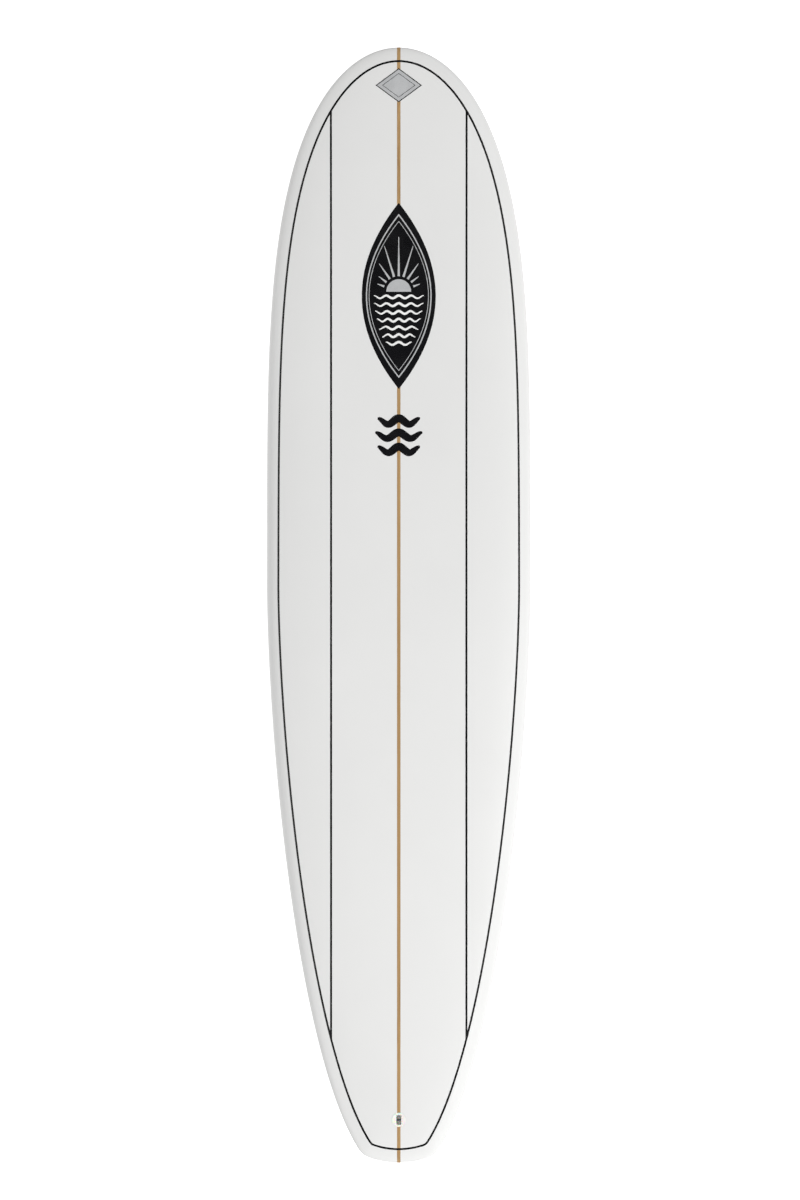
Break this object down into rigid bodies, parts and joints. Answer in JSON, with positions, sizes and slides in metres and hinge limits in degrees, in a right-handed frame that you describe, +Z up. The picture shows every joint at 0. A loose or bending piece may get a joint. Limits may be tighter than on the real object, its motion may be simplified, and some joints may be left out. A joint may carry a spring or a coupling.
{
  "type": "longboard surfboard",
  "caption": "Longboard surfboard with a foam core, wooden stringer, glossy glass laminate, leash plug and a removable two-plus-one fin set in fin boxes.",
  "frame": {"origin": "on the bottom, on the centreline at mid-length, where the rocker is flat", "axes": "+Y towards the nose, +Z up through the deck, +X towards the right rail"},
  "size_m": [0.616, 2.591, 0.2637],
  "materials": {
    "foam": "rigid closed-cell foam, matte",
    "stringer_wood": "sawn and sanded",
    "laminate": "polished glass-fibre laminate",
    "plug_plastic": "satin moulded plastic",
    "stainless": "bright stainless",
    "brass": "turned brass",
    "box_plastic": "satin moulded plastic",
    "fin_glass": "polished glass-fibre sheet, black"
  },
  "bodies": {
    "board": {"stringer": "stringer_wood", "foam_left": "foam", "foam_right": "foam", "deck_laminate": "laminate", "bottom_laminate": "laminate", "leash_plug": "plug_plastic", "leash_pin": "stainless", "center_fin_box": "box_plastic", "side_fin_box_left": "box_plastic", "side_fin_box_right": "box_plastic"},
    "center_fin_body": {"center_fin": "fin_glass", "center_fin_pin": "brass"},
    "center_screw_body": {"center_fin_screw": "stainless"},
    "center_plate_body": {"center_fin_plate": "brass"},
    "side_fin_left_body": {"side_fin_left": "fin_glass"},
    "side_fin_right_body": {"side_fin_right": "fin_glass"},
    "side_screw_left_body": {"side_fin_screw_left": "stainless"},
    "side_screw_right_body": {"side_fin_screw_right": "stainless"}
  },
  "joints": [
    {"name": "center_fin_slide", "type": "slide", "parent": "board", "child": "center_fin_body", "axis": [0, 0.9963, -0.0858], "range_m": [-0.03, 0.071]},
    {"name": "center_screw_turn", "type": "hinge", "parent": "center_fin_body", "child": "center_screw_body", "pos_m": [0, -0.94767, 0.03426], "axis": [0, -0.0858, -0.9963], "range_deg": [0, 720]},
    {"name": "center_plate_slide", "type": "slide", "parent": "center_fin_body", "child": "center_plate_body", "axis": [0, 0.0858, 0.9963], "range_m": [0, 0.0014]},
    {"name": "side_fin_pull_left", "type": "slide", "parent": "board", "child": "side_fin_left_body", "axis": [-0.0334, -0.0884, -0.9955], "range_m": [0, 0.03]},
    {"name": "side_screw_turn_left", "type": "hinge", "parent": "board", "child": "side_screw_left_body", "pos_m": [-0.16084, -0.87729, 0.0307], "axis": [-0.004, 0.4984, -0.8669], "range_deg": [0, 360]},
    {"name": "side_fin_pull_right", "type": "slide", "parent": "board", "child": "side_fin_right_body", "axis": [0.0334, -0.0884, -0.9955], "range_m": [0, 0.03]},
    {"name": "side_screw_turn_right", "type": "hinge", "parent": "board", "child": "side_screw_right_body", "pos_m": [0.16084, -0.87729, 0.0307], "axis": [0.004, 0.4984, -0.8669], "range_deg": [0, 360]}
  ],
  "couplings": [
    {"joint": "center_screw_turn", "follows": "center_plate_slide", "rad_per_m": 8975.9}
  ]
}
